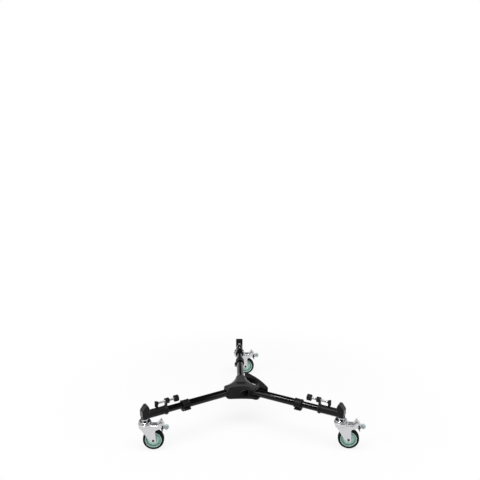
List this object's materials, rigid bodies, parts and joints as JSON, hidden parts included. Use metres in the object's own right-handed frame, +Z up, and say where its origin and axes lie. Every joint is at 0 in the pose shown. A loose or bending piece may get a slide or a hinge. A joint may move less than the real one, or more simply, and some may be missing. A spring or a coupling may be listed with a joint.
{
  "type": "tripod dolly",
  "caption": "Folding tripod dolly: cast hub with carry handle, telescoping arms with lever clamps, screw-clamp leg cups and braked swivel casters.",
  "frame": {"origin": "middle of the footprint at rest, on the floor under the wheels", "axes": "+Z up, +X to the right and +Y to the back; the arms leave the hub at 90, 210 and 331 degrees from +X"},
  "size_m": [0.7998, 0.6462, 0.1731],
  "materials": {
    "cast": "die cast, satin black powder coat",
    "tube": "gloss black coated tube",
    "black_plastic": "moulded, fine grain",
    "steel": "bright zinc plated",
    "axle_steel": "dark riveted axle",
    "zinc": "pressed sheet, bright zinc plated",
    "tyre": "smooth black tread",
    "pad_rubber": "moulded rubber",
    "wheel_plastic": "moulded grey green wheel centre",
    "pedal_plastic": "moulded pale grey pedal cap"
  },
  "bodies": {
    "hub": {"hub_top": "cast", "hub_base": "cast", "carry_handle": "black_plastic", "pivot_bolt_rear": "steel", "pivot_bolt_left": "steel", "pivot_bolt_right": "steel", "arm_knuckle_left": "cast", "outer_tube_left": "tube", "clamp_collar_left": "black_plastic", "lever_pin_left": "steel"},
    "arm_rear": {"arm_knuckle_rear": "cast", "outer_tube_rear": "tube", "clamp_collar_rear": "black_plastic", "lever_pin_rear": "steel"},
    "lever_rear": {"clamp_lever_rear": "black_plastic"},
    "leg_rear": {"inner_tube_rear": "tube", "leg_cup_rear": "cast", "caster_stem_rear": "zinc"},
    "pad_rear": {"pressure_pad_rear": "pad_rubber"},
    "screw_rear": {"clamp_screw_rear": "steel", "screw_knob_rear": "black_plastic"},
    "nut_rear": {"lock_nut_rear": "black_plastic"},
    "fork_rear": {"caster_fork_rear": "zinc", "axle_bolt_rear": "axle_steel"},
    "wheel_rear": {"wheel_core_rear": "wheel_plastic", "tyre_rear": "tyre"},
    "brake_rear": {"brake_lever_rear": "zinc", "brake_pedal_rear": "pedal_plastic"},
    "lever_left": {"clamp_lever_left": "black_plastic"},
    "leg_left": {"inner_tube_left": "tube", "leg_cup_left": "cast", "caster_stem_left": "zinc"},
    "pad_left": {"pressure_pad_left": "pad_rubber"},
    "screw_left": {"clamp_screw_left": "steel", "screw_knob_left": "black_plastic"},
    "nut_left": {"lock_nut_left": "black_plastic"},
    "fork_left": {"caster_fork_left": "zinc", "axle_bolt_left": "axle_steel"},
    "wheel_left": {"wheel_core_left": "wheel_plastic", "tyre_left": "tyre"},
    "brake_left": {"brake_lever_left": "zinc", "brake_pedal_left": "pedal_plastic"},
    "arm_right": {"arm_knuckle_right": "cast", "outer_tube_right": "tube", "clamp_collar_right": "black_plastic", "lever_pin_right": "steel"},
    "lever_right": {"clamp_lever_right": "black_plastic"},
    "leg_right": {"inner_tube_right": "tube", "leg_cup_right": "cast", "caster_stem_right": "zinc"},
    "pad_right": {"pressure_pad_right": "pad_rubber"},
    "screw_right": {"clamp_screw_right": "steel", "screw_knob_right": "black_plastic"},
    "nut_right": {"lock_nut_right": "black_plastic"},
    "fork_right": {"caster_fork_right": "zinc", "axle_bolt_right": "axle_steel"},
    "wheel_right": {"wheel_core_right": "wheel_plastic", "tyre_right": "tyre"},
    "brake_right": {"brake_lever_right": "zinc", "brake_pedal_right": "pedal_plastic"}
  },
  "joints": [
    {"name": "fold_rear", "type": "hinge", "parent": "hub", "child": "arm_rear", "pos_m": [-0.03484, -0.05593, 0.1278], "axis": [0, 0, 1], "range_deg": [0, 110]},
    {"name": "lever_rear_open", "type": "hinge", "parent": "arm_rear", "child": "lever_rear", "pos_m": [-0.0532, 0.13487, 0.1172], "axis": [0, 1, 0], "range_deg": [0, 90]},
    {"name": "leg_rear_slide", "type": "slide", "parent": "arm_rear", "child": "leg_rear", "axis": [0, 1, 0], "range_m": [-0.0627, 0.063]},
    {"name": "pad_rear_slide", "type": "slide", "parent": "leg_rear", "child": "pad_rear", "axis": [0, 1, 0], "range_m": [-0.025, 0.019]},
    {"name": "screw_rear_spin", "type": "hinge", "parent": "pad_rear", "child": "screw_rear", "pos_m": [-0.03484, 0.21357, 0.1618], "axis": [0, 1, 0], "range_deg": [-4510, 3430]},
    {"name": "nut_rear_spin", "type": "hinge", "parent": "leg_rear", "child": "nut_rear", "pos_m": [-0.03484, 0.20877, 0.1618], "axis": [0, 1, 0], "range_deg": [-720, 0]},
    {"name": "swivel_rear", "type": "hinge", "parent": "leg_rear", "child": "fork_rear", "pos_m": [-0.03484, 0.29857, 0.1], "axis": [0, 0, 1], "continuous": true},
    {"name": "wheel_rear_roll", "type": "hinge", "parent": "fork_rear", "child": "wheel_rear", "pos_m": [-0.00625, 0.29808, 0.0375], "axis": [0.0175, 0.9998, 0], "continuous": true},
    {"name": "brake_rear_press", "type": "hinge", "parent": "fork_rear", "child": "brake_rear", "pos_m": [0.02115, 0.2976, 0.0963], "axis": [0.0175, 0.9998, 0], "range_deg": [0, 25]},
    {"name": "lever_left_open", "type": "hinge", "parent": "hub", "child": "lever_left", "pos_m": [-0.23074, -0.23622, 0.1172], "axis": [-0.866, -0.5, 0], "range_deg": [0, 90]},
    {"name": "leg_left_slide", "type": "slide", "parent": "hub", "child": "leg_left", "axis": [-0.866, -0.5, 0], "range_m": [-0.0555, 0.071]},
    {"name": "pad_left_slide", "type": "slide", "parent": "leg_left", "child": "pad_left", "axis": [-0.866, -0.5, 0], "range_m": [-0.025, 0.019]},
    {"name": "screw_left_spin", "type": "hinge", "parent": "pad_left", "child": "screw_left", "pos_m": [-0.30184, -0.25607, 0.1618], "axis": [-0.866, -0.5, 0], "range_deg": [-4510, 3430]},
    {"name": "nut_left_spin", "type": "hinge", "parent": "leg_left", "child": "nut_left", "pos_m": [-0.29768, -0.25367, 0.1618], "axis": [-0.866, -0.5, 0], "range_deg": [-720, 0]},
    {"name": "swivel_left", "type": "hinge", "parent": "leg_left", "child": "fork_left", "pos_m": [-0.37545, -0.29857, 0.1], "axis": [0, 0, 1], "continuous": true},
    {"name": "wheel_left_roll", "type": "hinge", "parent": "fork_left", "child": "wheel_left", "pos_m": [-0.34686, -0.29808, 0.0375], "axis": [-0.0175, 0.9998, 0], "continuous": true},
    {"name": "brake_left_press", "type": "hinge", "parent": "fork_left", "child": "brake_left", "pos_m": [-0.31946, -0.2976, 0.0963], "axis": [-0.0175, 0.9998, 0], "range_deg": [-13, 12]},
    {"name": "fold_right", "type": "hinge", "parent": "hub", "child": "arm_right", "pos_m": [0.00539, -0.12423, 0.1278], "axis": [0, 0, 1], "range_deg": [-110, 0]},
    {"name": "lever_right_open", "type": "hinge", "parent": "arm_right", "child": "lever_right", "pos_m": [0.18117, -0.20067, 0.1172], "axis": [0.8746, -0.4848, 0], "range_deg": [0, 90]},
    {"name": "leg_right_slide", "type": "slide", "parent": "arm_right", "child": "leg_right", "axis": [0.8746, -0.4848, 0], "range_m": [-0.061, 0.065]},
    {"name": "pad_right_slide", "type": "slide", "parent": "leg_right", "child": "pad_right", "axis": [0.8746, -0.4848, 0], "range_m": [-0.025, 0.019]},
    {"name": "screw_right_spin", "type": "hinge", "parent": "pad_right", "child": "screw_right", "pos_m": [0.23961, -0.25406, 0.1618], "axis": [0.8746, -0.4848, 0], "range_deg": [-4510, 3430]},
    {"name": "nut_right_spin", "type": "hinge", "parent": "leg_right", "child": "nut_right", "pos_m": [0.23541, -0.25173, 0.1618], "axis": [0.8746, -0.4848, 0], "range_deg": [-720, 0]},
    {"name": "swivel_right", "type": "hinge", "parent": "leg_right", "child": "fork_right", "pos_m": [0.31395, -0.29527, 0.1], "axis": [0, 0, 1], "continuous": true},
    {"name": "wheel_right_roll", "type": "hinge", "parent": "fork_right", "child": "wheel_right", "pos_m": [0.3422, -0.29974, 0.0375], "axis": [0.1564, 0.9877, 0], "continuous": true},
    {"name": "brake_right_press", "type": "hinge", "parent": "fork_right", "child": "brake_right", "pos_m": [0.36927, -0.30403, 0.0963], "axis": [0.1564, 0.9877, 0], "range_deg": [0, 25]}
  ],
  "couplings": [
    {"joint": "screw_rear_spin", "follows": "pad_rear_slide", "rad_per_m": 3141.6},
    {"joint": "screw_left_spin", "follows": "pad_left_slide", "rad_per_m": 3141.6},
    {"joint": "screw_right_spin", "follows": "pad_right_slide", "rad_per_m": 3141.6}
  ]
}
